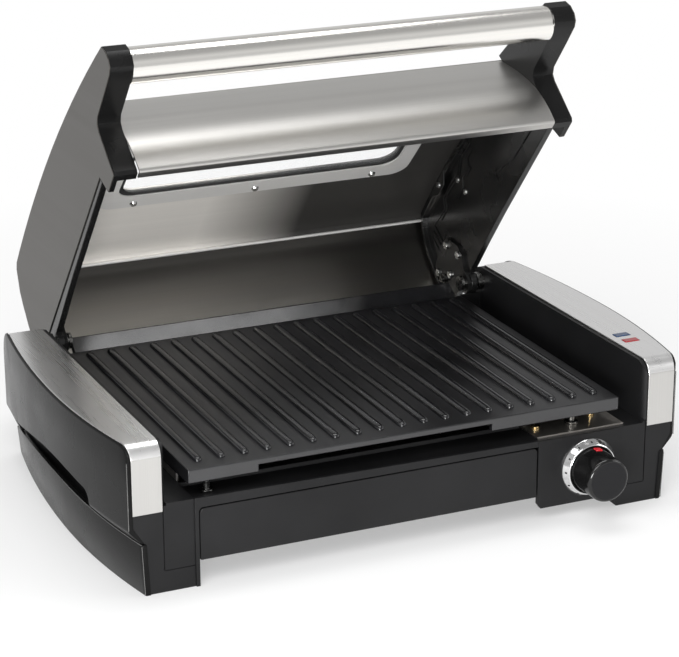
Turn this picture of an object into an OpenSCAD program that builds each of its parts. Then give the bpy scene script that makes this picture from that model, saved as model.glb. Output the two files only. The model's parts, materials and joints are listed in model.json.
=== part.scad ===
/* [Body] */
// Overall width over the side covers
body_w = 426; // [380:1:460]
// Height of the front edge of the top trims above the table
trim_front_z = 103.9; // [98:0.5:110]
// Height of the rear edge of the top trims above the table
trim_rear_z = 101.4; // [96:0.5:108]
// Gap between the inner walls of the two side housings
well_w = 349.6; // [345:1:352]
// Wall thickness of the moulded casings
wall = 2.6; // [2:0.1:3.5]

/* [Lid] */
// How far the lid is opened from shut
lid_open_angle = 49; // [0:1:71]
// Width of the lid over its side panels
lid_w = 337.8; // [330:1:340]
// Thickness of the sheet metal of the lid
lid_sheet = 1.2; // [0.8:0.1:1.6]
// Diameter of the handle tube
handle_d = 24; // [18:1:26]

/* [Window] */
// Visible width of the glass
glass_w = 220; // [160:1:240]
// Visible depth of the glass
glass_depth = 106; // [80:1:120]

/* [Grill plate] */
// Width of the grill plate
plate_w = 315.6; // [300:1:318]
// Number of ribs
rib_count = 19; // [11:2:19]
// Distance between ribs
rib_pitch = 16.2; // [15:0.1:16.4]

/* [Controls] */
// Diameter of the chrome dial ring
ring_d = 42; // [38:1:46]
// Diameter of the knob cap
knob_d = 31; // [26:1:32]

/* [Hidden] */
$fn = 48;

// Places along the depth: the front plane of the towers, the rear end of the trims and of the covers
front_y = -152;
trim_rear_y = 94;
cover_rear_y = 116;
cover_rear_r = 24;
housing_y = [front_y + 1.3, cover_rear_y - 3];
half_w = body_w / 2;
well_x = well_w / 2;
trim_in_x = well_x + 2.9;
trim_t = 1.2;
trim_end_z = 56.8;
bend_r = 11;
foot_z = 0.2;

// Gap between pieces that are pushed together, and a small overlap inside one piece
fit_gap = 0.15;
weld = 0.1;

// The sides bow outwards: widest at bow_y, tighter towards the front than towards the rear
bow_y = -30;
bow_front_r = 560;
bow_rear_r = 861;
skirt_top_in = 7.2;
skirt_foot_in = 9;
slot_front_y = -97;
slot_rear_y = 92;
plan_steps = 18;

// Side housings: hollows, the floor of the hand slot, and the posts beside the drip tray
hollow_in_x = well_x + 3.6;
hollow_low_y = [-146, 108];
hollow_high_y = [-137, 98];
hollow_mid_z = 62;
lamp_z = 97.4;
slot_floor_x = half_w - 16;
post_in_x = 156;
post_z = 61.6;
post_hollow = [[159, -124, -1], [172, 78, 58.6]];
post_rear = [100, 42];
corner_r = 5;
screw_ledge = [[149.5, -135, 16.1], [post_in_x + weld, 80, 19.5]];
groove_x = 177.2;
foot_x = 166;
foot_y = [-139, 95];
foot_r = 7;
foot_h = 2.4;
base_screw_x = 152.8;
base_screw_y = [-110, -20, 60];
screw_r = 1.55;

// Hinge axis of the lid, and its pins
pivot = [0, 95, 89];
pin_r = 4;
pin_gap = 0.06;
pin_in_x = 158.6;

// Lid, drawn shut and then swung open about the hinge axis
lid_x = lid_w / 2;
panel_t = 0.8;
liner_t = 4.8;
shell_x = lid_x - panel_t - liner_t;
rim_z = 100.6;
bracket_t = 16.5;
handle_y = -166;
handle_z = 139;
hinge_plate_t = 2.6;

// Window in the top of the lid
glass_rear_y = 36;
glass_front_y = glass_rear_y - glass_depth;
frame_margin = 14;
glass_r = 13;
glass_t = 3;
window_screw_x = 95.5;
window_screw_y = [glass_front_y - 9, glass_rear_y + 12];

// Outline of the lid, shut, as depth and height
sheet_drop = 3.6;
flat_y = [-80, 58];
flat_angle = atan2(lid_top_z(flat_y[1]) - lid_top_z(flat_y[0]), flat_y[1] - flat_y[0]);
front_top = [-93, lid_top_z(-93) - sheet_drop];
rear_bend = [
    [123.5, 173.6], [127.2, 171.6], [129, 168.6], [133.5, 160], [137, 146], [138.6, 128], [138.6, rim_z]
];
front_line = [
    front_top + [-0.4, -0.9], [-101.3, 151.1], [-110, 138.7], [-117.5, 125.7], [-123.5, 111.9],
    [-126.9, 97.5], [-127.8, 83.4], [-126.6, 82.2], [-121, 82.2]
];
arm_line = [
    [-175, 149.4], [-178.5, 142.4], [-179, 135.6], [-177, 130.8], [-172.5, 128.7], [-157.6, 128],
    [-139.7, 127.5], [-129, 127.2], [-124, 124.6], [-122.7, 119.5], [-123.2, 108]
];
tab_line = [[-123.9, 86.6], [-122, 84.4], [-105, 84], [-98.4, rim_z - weld]];
tab_t = 3.1;
panel_rear = [[125, 177.4], [130, 174.4], [138, 159.5], [140, 150], [142, 132], [142, rim_z]];
bracket_rear = [-93.6, -106];
bracket_foot = [[-124.6, 86.6], [-123.4, 84], [-117.5, 84], [-113, 92]];
handle_half = lid_x - bracket_t;
rod_r = 3;
liner_low = [[-97.6, rim_z + weld], [-97.6, 96.8], [-87, 96.5], [-38, 95.8], [10, 95.2], [44, 94], [72, 92.5]];
lug_r = 9;
liner_rear = [[140, 91.5], [140, 131], [138, 149.5], [136, 159], [128.8, 172.4], [124.4, 175.2]];
flange_w = 3.6;
flange_t = 3;
flange_rear = [[133.8, rim_z], [133.6, 126], [131.4, 145], [127, 158], [119, 167.2]];

// Hinge plates
hinge_screw_at = [[99, 126.1], [87.5, 109.8], [110.5, 106.5], [127, 119]];
stop_pin_at = [121, 109.5];
stop_pin_r = 2.5;
hinge_plate_line = [
    [88, 84], [92, 80.5], [98, 80.5], [102, 84], [105, 92], [115, 98], [127, 107.5],
    [130.4, 113], [130.4, 124], [126, 127], [105, 131.5], [95, 130.5], [83.5, 116], [82.5, 106], [87, 98]
];

// Grill plate
plate_front_y = -146;
plate_rear_y = 95;
plate_z = 79.2;
plate_end_h = 9.2;
plate_mid_h = 4.2;
plate_skirt_t = 4;
plate_skirt_x = [-109, 60];
rib_h = 2.6;
rib_w = 6;
rib_front_y = -134;
rib_rear_y = 88;
plate_back = [106, 86.6];

// Front of the base
panel_x = [93, 155.6];
bar_z = 55.2;
bar_right_z = 59.4;
bar_leg = [-156, -153.3];
ledge_z = 62;
tray_x = [-152.6, 92];
tray_z = [18.3, 54.4];
tray_r = 3.3;
knob_at = [131.9, 34.3];
knob_front_y = -180.6;
knob_long = front_y - knob_front_y;
shaft_r = 3;
shaft_gap = 0.05;
shaft_in_y = -132.5;
shaft_out = 20;
pointer_turn = 7;

// Thin plate beside the drip tray, its screws and the pin that the grill plate sits on
shelf_z = 59;
element_plate_t = 1.2;
element_plate_screw_at = [[101.8, -129.9], [148.3, -124.2]];
pin_at = [[128.8, -132], [-142, -136]];
pin_plate_r = 2.5;

// Indicator lenses in the right trim
lens_x = [183.5, 195];
lens_y = [-106.8, -94.2];
lens_d = 6.4;

// Pan under the grill plate, and the tubular element in it: two nested loops that end at the front right
pan_y = [-118, 91];
pan_z = 40;
pan_t = 1.4;
pan_top_z = plate_z - plate_end_h;
element_r = 3.3;
element_bend = 18;
element_z = 66;
element_path = [[140, -116], [140, 66], [-140, 66], [-140, -90], [-98, -90], [-98, 20], [100, 20], [100, -116]];
clip_at = [[-60, 66], [60, 66], [0, 20], [140, -40], [-140, -30]];

// Rear of the base: the back wall, and the low ledge that the opened lid comes to rest on
back_y = 97;
back_t = 2.8;
ear_z = 79.4;
ledge_x = 150;
ledge_rear_y = 127;
ledge_top_z = 47.6;
cover_z_low = 13.5;
cover_z_high = 16;
tray_floor_z = tray_z[0] + 2;
gland_at = [60, 33];
cord_r = 3.6;

black = [0.06, 0.06, 0.065];
gloss_black = [0.04, 0.04, 0.045];
steel = [0.72, 0.71, 0.69];
lid_grey = [0.47, 0.46, 0.44];

// Outer face of the side cover at depth y, measured from the middle of the body
function bow_x(y) = half_w - pow(y - bow_y, 2) / (2 * (y < bow_y ? bow_front_r : bow_rear_r));

// Height of the trim's top face at depth y
function trim_z(y) = trim_front_z + (trim_rear_z - trim_front_z) * (y - front_y) / (trim_rear_y - front_y);

// Height of the seam between the side cover and the skirt
function seam_z(y) = y < -40 ? 36.2 + (y + 152) * 0.008 : 37.1 - pow(y + 40, 2) * 0.00062;

// Height at which the side cover starts to turn inwards above the seam
function turn_z(y) = seam_z(y) + 9.3 + max(0, y + 40) * 0.05;

function arc(c, r, from, to, n) =
    [for (i = [0:n]) let (a = from + (to - from) * i / n) c + r * [cos(a), sin(a)]];

function normal(p, q) = let (d = q - p) [-d[1], d[0]] / norm(d);

// A line of points thickened to one side
function strip(line, t) = let (n = len(line), shifted = [
    for (i = [0:n - 1])
        let (
            a = normal(line[max(i - 1, 0)], line[max(i, 1)]),
            b = normal(line[min(i, n - 2)], line[min(i + 1, n - 1)]),
            m = (a + b) / norm(a + b)
        )
        line[i] + m * t / (m * a)
]) concat(line, [for (i = [n - 1:-1:0]) shifted[i]]);

// Stations from one depth to another
function steps(from, to, n) = [for (i = [0:n]) from + (to - from) * i / n];

// Outline of a side seen from above, from an inner x to some distance inside the bowed face
function plan(x_in, inset, y0, y1) = concat(
    [for (y = steps(y0, y1, plan_steps)) [bow_x(y) - inset, y]],
    [[x_in, y1], [x_in, y0]]
);

module along_x(x0, x1) translate([x0, 0, 0]) rotate([90, 0, 90]) linear_extrude(x1 - x0) children();

module along_y(y0, y1) translate([0, y1, 0]) rotate([90, 0, 0]) linear_extrude(y1 - y0) children();

module up(z0, z1) translate([0, 0, z0]) linear_extrude(z1 - z0) children();

module box(low, high) translate(low) cube(high - low);

module rod_x(x0, x1, at, r) translate([x0, at[0], at[1]]) rotate([0, 90, 0]) cylinder(r = r, h = x1 - x0);

module rod_y(y0, y1, at, r) translate([at[0], y1, at[1]]) rotate([90, 0, 0]) cylinder(r = r, h = y1 - y0);

module left() mirror([1, 0, 0]) children();

module opened() translate(pivot) rotate([-lid_open_angle, 0, 0]) translate(-pivot) children();

// Solid skinned over closed sections that have the same number of points
module skin(sections) {
    n = len(sections[0]);
    m = len(sections);
    sides = [
        for (i = [0:m - 2], j = [0:n - 1])
            let (k = (j + 1) % n)
            each [[i * n + j, (i + 1) * n + k, i * n + k], [i * n + j, (i + 1) * n + j, (i + 1) * n + k]]
    ];
    polyhedron(
        [for (s = sections) each s],
        concat([[for (j = [0:n - 1]) j]], [[for (j = [n - 1:-1:0]) (m - 1) * n + j]], sides)
    );
}

// Rectangle with rounded corners, from its low to its high corner
function round_rect(low, high, r) = concat(
    arc([high[0] - r, high[1] - r], r, 0, 90, 6),
    arc([low[0] + r, high[1] - r], r, 90, 180, 6),
    arc([low[0] + r, low[1] + r], r, 180, 270, 6),
    arc([high[0] - r, low[1] + r], r, 270, 360, 6)
);

// Drop of a rounded edge of radius r, d away from where it ends
function edge_drop(r, d) = d >= r ? 0 : r - sqrt(r * r - pow(r - d, 2));

// Top of the side cover at depth y, rounded at the front and at the rear
function cover_z(y) = trim_z(min(y, trim_rear_y + 4)) - 0.4
    - edge_drop(bend_r, y - front_y) - edge_drop(cover_rear_r, cover_rear_y + 0.4 - y);

// Side profile of a housing: what lies under the trim, and slopes down behind it
function housing_profile() = concat(
    [[housing_y[0], foot_z], [housing_y[1], foot_z], [housing_y[1], 86], [cover_rear_y - 8, 94]],
    [[cover_rear_y - 16, 98.5], [trim_rear_y, trim_z(trim_rear_y) - trim_t - weld]],
    arc([housing_y[0] + bend_r, trim_z(front_y) - bend_r - trim_t - weld], bend_r, 90, 180, 6)
);

module side_housing() color(black) difference() {
    union() {
        intersection() {
            union() {
                up(48, 110) polygon(tower_plan());
                up(foot_z, 48 + weld)
                    polygon(plan(well_x, skirt_foot_in + wall + fit_gap, housing_y[0], housing_y[1]));
                front_cheek();
            }
            along_x(well_x - 1, half_w) polygon(housing_profile());
        }
        box([post_in_x, housing_y[0], foot_z], [well_x + weld, housing_y[1], post_z]);
        box(screw_ledge[0], screw_ledge[1]);
    }
    up(-1, hollow_mid_z) polygon(plan(hollow_in_x, 19, hollow_low_y[0], hollow_low_y[1]));
    up(hollow_mid_z - weld, lamp_z) polygon(plan(hollow_in_x, 5.8, hollow_high_y[0], hollow_high_y[1]));
    box(post_hollow[0], post_hollow[1]);
    box([post_in_x - 1, post_rear[0], post_rear[1]], [well_x, housing_y[1] + 1, post_z + 1]);
    along_x(slot_floor_x, half_w + 1) polygon([for (p = slot_outline()) p + [0, p[1] > 40 ? 0.4 : -0.4]]);
    for (y = foot_y) translate([foot_x, y, -1]) cylinder(r = foot_r + weld, h = foot_h + 1);
    for (y = base_screw_y) translate([base_screw_x, y, 16]) cylinder(r = screw_r + 0.1, h = 4);
    box([groove_x - 0.4, front_y, 15.4], [groove_x + 0.4, front_y + 2.3, trim_end_z + 4]);
    box([post_in_x - 1, front_y, 14.8], [groove_x, front_y + 1.9, 15.4]);
}

// Tower seen from above, its inner front corner rounded
function tower_plan() = let (outline = plan(well_x, wall + fit_gap, housing_y[0], housing_y[1])) concat(
    [for (i = [0:len(outline) - 2]) outline[i]],
    arc([well_x, housing_y[0]] + corner_r * [1, 1], corner_r, 180, 270, 6)
);

// Front face between the tower and the inside of the side cover and skirt
module front_cheek() {
    x = bow_x(front_y) - wall - fit_gap;
    along_y(housing_y[0], housing_y[0] + 3) polygon([
        [well_x, foot_z], [x - skirt_foot_in, foot_z], [x - skirt_top_in, seam_z(front_y) - 0.5],
        [x, turn_z(front_y) + 1.8], [x, 100], [well_x + corner_r, 100], [well_x + corner_r, 60], [well_x, 60]
    ]);
}

// Hand slot in the cover, as depth and height
function slot_outline() = concat(
    [[slot_front_y, 34]],
    arc([slot_front_y + 9, 46.5], 9, 180, 105, 4),
    [[-66, 57.6], [-40, 58.8], [-10, 57.2], [26, 52], [64, 44.6], [slot_rear_y, 38]],
    [[slot_rear_y, 24], [60, 26]]
);

module side_housing_right() difference() {
    side_housing();
    box([150, front_y - 1, shelf_z], [well_x, -117, 70]);
    lens_slots(0.2);
}

module side_housing_left() left() side_housing();

module lens_slots(gap) for (y = lens_y)
    box([lens_x[0] - gap, y - lens_d / 2 - gap, 92], [lens_x[1] + gap, y + lens_d / 2 + gap, 110]);

// Section of the side cover at depth y: x and z of its outline
function cover_section(y) = let (
    x = bow_x(y), top = cover_z(y), turn = turn_z(y), seam = seam_z(y) + 0.3
) [
    [x - 0.6, y, top], [x, y, top - 0.8], [x, y, turn], [x - skirt_top_in, y, seam],
    [x - skirt_top_in - wall, y, seam], [x - wall, y, turn + 1.4], [x - wall, y, top - 4],
    [x - 1.5, y, top - 3.4], [x - 1.5, y, top]
];

module side_cover() color(gloss_black) difference() {
    skin([
        for (y = concat(
            [front_y + 1.6, front_y + 3, front_y + 5.5, front_y + bend_r],
            steps(-130, 94, 12), [101, 106, 110, 113, 115, cover_rear_y]
        )) cover_section(y)
    ]);
    along_x(half_w - 30, half_w + 1) polygon(slot_outline());
}

module side_cover_right() side_cover();

module side_cover_left() left() side_cover();

function skirt_section(y) = let (x = bow_x(y), seam = seam_z(y) - 0.4) [
    [x - skirt_top_in, y, seam], [x - skirt_foot_in, y, foot_z],
    [x - skirt_foot_in - wall, y, foot_z], [x - skirt_top_in - wall, y, seam]
];

module skirt() color(gloss_black)
    skin([for (y = steps(front_y + 0.4, cover_rear_y, 16)) skirt_section(y)]);

module skirt_right() skirt();

module skirt_left() left() skirt();

// Trim seen from the side: along the top, round the bend and down the front
function trim_line() = concat(
    [[trim_rear_y, trim_z(trim_rear_y)]],
    arc([front_y + bend_r, trim_z(front_y) - bend_r], bend_r, 90, 180, 8),
    [[front_y, trim_end_z]]
);

module top_trim() color(steel) intersection() {
    along_x(trim_in_x, half_w) polygon(strip(trim_line(), trim_t));
    up(0, 120) polygon(plan(trim_in_x, 1.9, front_y, trim_rear_y));
}

module top_trim_right() difference() {
    top_trim();
    lens_slots(0.2);
}

module top_trim_left() left() top_trim();

module lens(y) box([lens_x[0], y - lens_d / 2, lamp_z], [lens_x[1], y + lens_d / 2, trim_z(y) + 0.4]);

module red_lens() color([0.7, 0.08, 0.1]) lens(lens_y[0]);

module blue_lens() color([0.12, 0.22, 0.45]) lens(lens_y[1]);

module lamp_holder() color([0.85, 0.85, 0.8]) difference() {
    box([lens_x[0] - 1, lens_y[0] - 5.2, lamp_z - 9.4], [lens_x[1] + 1, lens_y[1] + 5, lamp_z]);
    for (y = lens_y) translate([189, y, lamp_z - 7.4]) cylinder(r = 2.1, h = 8);
}

// Bar in front of the plate, falling a little to the right, with a leg down its left end
module front_crossbar() color(black) {
    right = panel_x[0] - fit_gap;
    along_y(front_y, front_y + 3) polygon(concat(
        [[bar_leg[0], foot_z], [bar_leg[1], foot_z]],
        arc([bar_leg[1] + 3, bar_z - 3], 3, 180, 90, 4),
        [[right, bar_z], [right, bar_right_z], [bar_leg[0], ledge_z]]
    ));
    along_x(bar_leg[0], right) polygon([
        [front_y + 3 - weld, bar_z + 1.6], [front_y + 3 - weld, bar_right_z - 0.4], [-124, bar_right_z - 0.4],
        [-123, ledge_z - 0.6], [-121, ledge_z - 0.6], [-121, bar_z + 1.6]
    ]);
}

module control_panel() color(black) difference() {
    right = post_in_x - fit_gap;
    deep = pan_y[0] - fit_gap;
    union() {
        along_y(front_y, front_y + 3) polygon([
            [panel_x[0], 13], [panel_x[0] + 2.6, 9.4], [148, 9.4], [right, 7],
            [right, shelf_z], [panel_x[0], shelf_z]
        ]);
        box([panel_x[0], front_y + 3 - weld, 20], [panel_x[0] + 2.4, deep, shelf_z]);
        box([panel_x[0], front_y + 3 - weld, shelf_z - 2.6], [right, deep, shelf_z]);
    }
    rod_y(front_y - 1, front_y + 4, knob_at, 4.6);
    for (p = element_plate_screw_at) translate([p[0], p[1], 50]) cylinder(r = screw_r + 0.05, h = 12);
}

module element_plate() color([0.45, 0.43, 0.41]) difference() {
    box([94.6, -147, shelf_z], [161.4, -118.5, shelf_z + element_plate_t]);
    for (p = element_plate_screw_at) translate([p[0], p[1], 50]) cylinder(r = screw_r + 0.1, h = 12);
    translate([pin_at[0][0], pin_at[0][1], 50]) cylinder(r = pin_plate_r + 0.05, h = 12);
}

module element_plate_screws() color([0.75, 0.62, 0.4])
    for (p = element_plate_screw_at) translate([p[0], p[1], shelf_z]) {
        translate([0, 0, -8]) cylinder(r = screw_r, h = 8 + element_plate_t);
        translate([0, 0, element_plate_t]) cylinder(r = 3, h = 1.6);
    }

// Pins that the grill plate sits on: one through the thin plate, one on the ledge of the crossbar
module locating_pin() color(steel) for (p = [pin_at[0], pin_at[1]]) {
    foot = p[0] > 0 ? shelf_z : bar_right_z - 0.4;
    collar = p[0] > 0 ? shelf_z + element_plate_t : foot;
    translate([p[0], p[1], foot]) cylinder(r = pin_plate_r, h = pin_top_z(p) - foot);
    translate([p[0], p[1], collar]) cylinder(r = 4.6, h = 1.8);
}

// Underside of the grill plate above a pin
function pin_top_z(p) = plate_z - plate_mid_h - fit_gap;

module rear_housing() color(black) difference() {
    union() {
        box([-post_in_x, back_y - back_t, cover_z_high + weld], [post_in_x, back_y, pan_top_z]);
        for (s = [0, 1]) mirror([s, 0, 0]) {
            box([post_in_x - 1, back_y - back_t, post_z + fit_gap], [well_x - fit_gap, back_y, pan_top_z]);
            box([plate_w / 2 + 0.4, back_y - back_t, pan_top_z - weld], [well_x - fit_gap, back_y, ear_z]);
        }
        along_x(-ledge_x, ledge_x) polygon([
            [back_y - weld, cover_z_high + weld], [ledge_rear_y - 6, cover_z_high + weld], [ledge_rear_y, 22],
            [ledge_rear_y, ledge_top_z - 4], [ledge_rear_y - 4, ledge_top_z], [back_y - weld, ledge_top_z]
        ]);
    }
    along_x(-ledge_x + wall, ledge_x - wall) polygon([
        [back_y - 4, 18.7], [ledge_rear_y - 7, 18.7], [ledge_rear_y - wall, 23.2],
        [ledge_rear_y - wall, ledge_top_z - 5], [ledge_rear_y - 5, ledge_top_z - wall],
        [back_y - 4, ledge_top_z - wall]
    ]);
    rod_y(ledge_rear_y - 4, ledge_rear_y + 1, gland_at, 6.6);
}

module cord_gland() color([0.1, 0.1, 0.1]) difference() {
    union() {
        rod_y(ledge_rear_y - 12, ledge_rear_y + weld, gland_at, 6.5);
        rod_y(ledge_rear_y, ledge_rear_y + 3, gland_at, 9);
    }
    rod_y(ledge_rear_y - 13, ledge_rear_y + 4, gland_at, cord_r);
}

module terminal_block() color([0.9, 0.88, 0.8]) difference() {
    box([26, 100, 18.7], [44, 116, 36]);
    for (x = [30, 35, 40]) rod_y(99, 108, [x, 30], 1.6);
}

module base_pan() color([0.32, 0.31, 0.3]) difference() {
    inner_x = post_in_x - pan_t;
    box([-post_in_x, pan_y[0], pan_z], [post_in_x, pan_y[1], pan_top_z]);
    box([-inner_x, pan_y[0] + pan_t, pan_z + pan_t], [inner_x, pan_y[1] - pan_t, pan_top_z + 1]);
    box([-inner_x, pan_y[0] - 1, shelf_z - 2.8], [inner_x, pan_y[0] + 2, pan_top_z + 1]);
    translate([0, 0, pan_z - 1]) cylinder(r = 18, h = 4);
}

module bottom_cover() color(black) difference() {
    union() {
        box([-post_in_x, screw_ledge[0][1], cover_z_low], [post_in_x, back_y - back_t - weld, cover_z_high]);
        for (x = [-100, 40]) box([x - 1.5, -130, cover_z_high - weld], [x + 1.5, 80, tray_z[0] - 0.2]);
    }
    for (s = [-1, 1], y = base_screw_y) translate([s * base_screw_x, y, 12]) cylinder(r = screw_r + 0.1, h = 5);
    for (y = [-60:20:40]) box([-30, y, 12], [30, y + 4, 17]);
}

module base_screws() color(steel)
    for (s = [-1, 1], y = base_screw_y) translate([s * base_screw_x, y, cover_z_low]) {
        translate([0, 0, -2]) cylinder(r = 3, h = 2);
        translate([0, 0, -weld]) cylinder(r = screw_r, h = 5.8);
    }

module rubber_feet() color([0.08, 0.08, 0.08])
    for (s = [-1, 1], y = foot_y) translate([s * foot_x, y, 0]) cylinder(r = foot_r, h = foot_h);

module hinge_pins() color(steel) for (s = [0, 1]) mirror([s, 0, 0]) {
    rod_x(pin_in_x, well_x, [pivot[1], pivot[2]], pin_r);
    rod_x(pin_in_x - 2, pin_in_x, [pivot[1], pivot[2]], 6);
    rod_x(169.9, well_x, [pivot[1], pivot[2]], 7);
}

module heating_element() color([0.25, 0.24, 0.23]) translate([0, 0, element_z]) {
    last = len(element_path) - 1;
    for (i = [0:last - 1]) {
        a = element_path[i];
        b = element_path[i + 1];
        d = (b - a) / norm(b - a);
        from = a + d * (i == 0 ? 0 : element_bend);
        to = b - d * (i == last - 1 ? 0 : element_bend);
        translate(from) rotate([0, 0, atan2(d[1], d[0])]) rotate([0, 90, 0])
            cylinder(r = element_r, h = norm(to - from));
    }
    for (i = [1:last - 1]) element_corner(element_path[i - 1], element_path[i], element_path[i + 1]);
}

module element_corner(a, b, c) {
    back = (a - b) / norm(a - b);
    on = (c - b) / norm(c - b);
    turn = back[0] * on[1] - back[1] * on[0];
    first = turn > 0 ? atan2(-on[1], -on[0]) : atan2(-back[1], -back[0]);
    translate(b + (back + on) * element_bend) rotate([0, 0, first])
        rotate_extrude(angle = 90) translate([element_bend, 0]) circle(element_r);
}

module element_clips() color(steel) for (p = clip_at) {
    wide = abs(p[0]) > 130;
    translate([p[0], p[1], 0]) rotate([0, 0, wide ? 90 : 0]) difference() {
        box([-4, -2.6, pan_z + pan_t], [4, 2.6, element_z - element_r + 1.2]);
        rotate([0, 90, 0]) translate([-element_z, 0, -5]) cylinder(r = element_r, h = 10);
    }
}

module thermostat() color([0.8, 0.78, 0.72]) difference() {
    union() {
        rod_y(front_y + 3, -126, knob_at, 15);
        rod_y(front_y - 1.5, front_y + 3.1, knob_at, 4.5);
    }
    rod_y(front_y - 3, shaft_in_y + 0.5, knob_at, shaft_r + shaft_gap);
}

module thermostat_shaft() color(steel) rod_y(front_y - shaft_out, shaft_in_y, knob_at, shaft_r);

// Turned about the axis of the knob, drawn from the panel outwards
module on_dial() translate([knob_at[0], front_y, knob_at[1]]) children();

module turned(points) on_dial() rotate([90, 0, 0]) rotate_extrude($fn = 64) polygon(points);

module dial_ring() color([0.8, 0.8, 0.8]) turned([
    [knob_d / 2 + 1.7, 0], [ring_d / 2, 0], [ring_d / 2, 1.2], [ring_d / 2 - 0.8, 2.4],
    [knob_d / 2 + 2.6, 6.2], [knob_d / 2 + 1.7, 6.2]
]);

module knob() color(gloss_black) difference() {
    turned([
        [shaft_r, 2], [shaft_r + 2.5, 2], [shaft_r + 2.5, 4], [knob_d / 2 + 1.1, 4], [knob_d / 2 + 1.1, 5.6],
        [knob_d / 2 + 0.3, 7], [knob_d / 2, knob_long - 1.2], [knob_d / 2 - 1.2, knob_long], [0, knob_long],
        [0, shaft_out + 0.1], [shaft_r, shaft_out + 0.1]
    ]);
    pointer(2.4);
}

// Raised mark on the flank of the knob, set into a notch
module pointer(high) on_dial() rotate([0, pointer_turn, 0])
    box([-2.4, -11.5, knob_d / 2 - 1.4], [2.4, -6.9, knob_d / 2 - 1.4 + high]);

module knob_pointer() color([0.75, 0.05, 0.08]) pointer(2.4);

module grill_plate() color([0.09, 0.09, 0.09]) {
    half = plate_w / 2;
    box([-half, plate_front_y, plate_z - plate_mid_h], [half, plate_rear_y, plate_z]);
    skirt_z = [plate_z - plate_end_h, plate_z - plate_mid_h + weld];
    skirt_y = plate_front_y + plate_skirt_t;
    box([-half, plate_front_y, skirt_z[0]], [plate_skirt_x[0], skirt_y, skirt_z[1]]);
    box([plate_skirt_x[1], plate_front_y, skirt_z[0]], [half, skirt_y, skirt_z[1]]);
    for (x = [-half, half - plate_skirt_t])
        box([x, skirt_y - weld, skirt_z[0]], [x + plate_skirt_t, plate_rear_y, skirt_z[1]]);
    along_x(-half + plate_skirt_t, half - plate_skirt_t) polygon([
        [plate_rear_y - weld, plate_z - plate_mid_h], [plate_rear_y + 4, plate_z - plate_mid_h],
        [plate_back[0] + 2.6, plate_back[1] - 1.6], [plate_back[0] + 2, plate_back[1] - 0.4],
        [plate_back[0], plate_back[1]], [plate_rear_y - weld, plate_z - 2]
    ]);
    for (i = [0:rib_count - 1]) translate([(i - (rib_count - 1) / 2) * rib_pitch, 0, 0]) rib();
}

module rib() up(plate_z - weld, plate_z + rib_h) polygon(concat(
    arc([0, rib_front_y + rib_w / 2], rib_w / 2, 180, 360, 6),
    arc([0, rib_rear_y - rib_w / 2], rib_w / 2, 0, 180, 6)
));

module drip_tray() color(black) {
    along_y(front_y, front_y + 3.4) polygon(concat(
        [[tray_x[0], tray_z[0]], [tray_x[1], tray_z[0]]],
        arc([tray_x[1] - tray_r, tray_z[1] - tray_r], tray_r, 0, 90, 6),
        arc([tray_x[0] + tray_r, tray_z[1] - tray_r], tray_r, 90, 180, 6)
    ));
    difference() {
        box([-146, front_y + 3.3, tray_z[0]], [88, 70, 36]);
        box([-144, front_y + 5.4, tray_floor_z], [86, 68, 37]);
    }
}

// Lid, shut: depth and height of the top of the side panels, and of the sheet below it
function lid_top_z(y) = 179 - pow(y - 70, 2) / 2028;

function top_run(y0, y1, n, drop) = [for (y = steps(y0, y1, n)) [y, lid_top_z(y) - drop]];

module lid_shell() opened() color(steel) difference() {
    along_x(-shell_x, shell_x) polygon(strip(concat(
        [for (i = [len(rear_bend) - 1:-1:0]) rear_bend[i]],
        top_run(110, flat_y[1], 4, sheet_drop), top_run(flat_y[0], front_top[0], 1, sheet_drop)
    ), lid_sheet));
    on_window() up(-4, 4) polygon(glass_outline(0, glass_r));
}

module lid_front_panel() opened() color(steel)
    along_x(-handle_half + weld, handle_half - weld) polygon(strip(front_line, lid_sheet));

// Flat stretch of the top sheet: depth 0 is at its front edge, height 0 on its outer face
module on_window() translate([0, flat_y[0], lid_top_z(flat_y[0]) - sheet_drop]) rotate([flat_angle, 0, 0])
    translate([0, -flat_y[0], 0]) children();

function glass_outline(more, r) = round_rect(
    [-glass_w / 2 - more, glass_front_y - more], [glass_w / 2 + more, glass_rear_y + more], r
);

module plate_on_window(outer, inner, low, high) on_window() difference() {
    up(low, high) polygon(glass_outline(outer, glass_r + max(outer, 0)));
    up(low - 1, high + 1) polygon(glass_outline(inner, glass_r + max(inner, 0)));
}

module window_glass() opened() color([0.75, 0.8, 0.8, 0.4])
    on_window() up(-lid_sheet - glass_t - weld, -lid_sheet - weld) polygon(glass_outline(4, glass_r + 4));

module window_gasket() opened() color([0.05, 0.05, 0.05]) {
    plate_on_window(7, 4.1, -4.4, -lid_sheet - weld);
    plate_on_window(7, -1.5, -5.2, -4.4);
}

// Outline of the window frame, or of a line inside it
function frame_outline(inside) = round_rect(
    [inside - glass_w / 2 - frame_margin, inside + glass_front_y - frame_margin],
    [glass_w / 2 + frame_margin - inside, glass_rear_y + frame_margin + 3 - inside], glass_r - inside
);

module window_frame() opened() color([0.55, 0.54, 0.52]) difference() {
    on_window() {
        difference() {
            up(-6.4, -5.2) polygon(frame_outline(0));
            up(-7, -5) polygon(glass_outline(1.5, glass_r));
        }
        difference() {
            up(-5.3, -lid_sheet - 0.6) polygon(frame_outline(0));
            up(-6, -1) polygon(frame_outline(1.2));
        }
    }
    window_screw_places() cylinder(r = 1.6, h = 8, center = true);
}

module window_screw_places() on_window()
    for (x = [-window_screw_x, 0, window_screw_x], y = window_screw_y) translate([x, y, -6.4]) children();

module window_screws() opened() color(steel) window_screw_places() {
    translate([0, 0, -1.4]) cylinder(r1 = 2.2, r2 = 3, h = 1.4, $fn = 24);
    cylinder(r = 1.5, h = 5.1);
}

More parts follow.
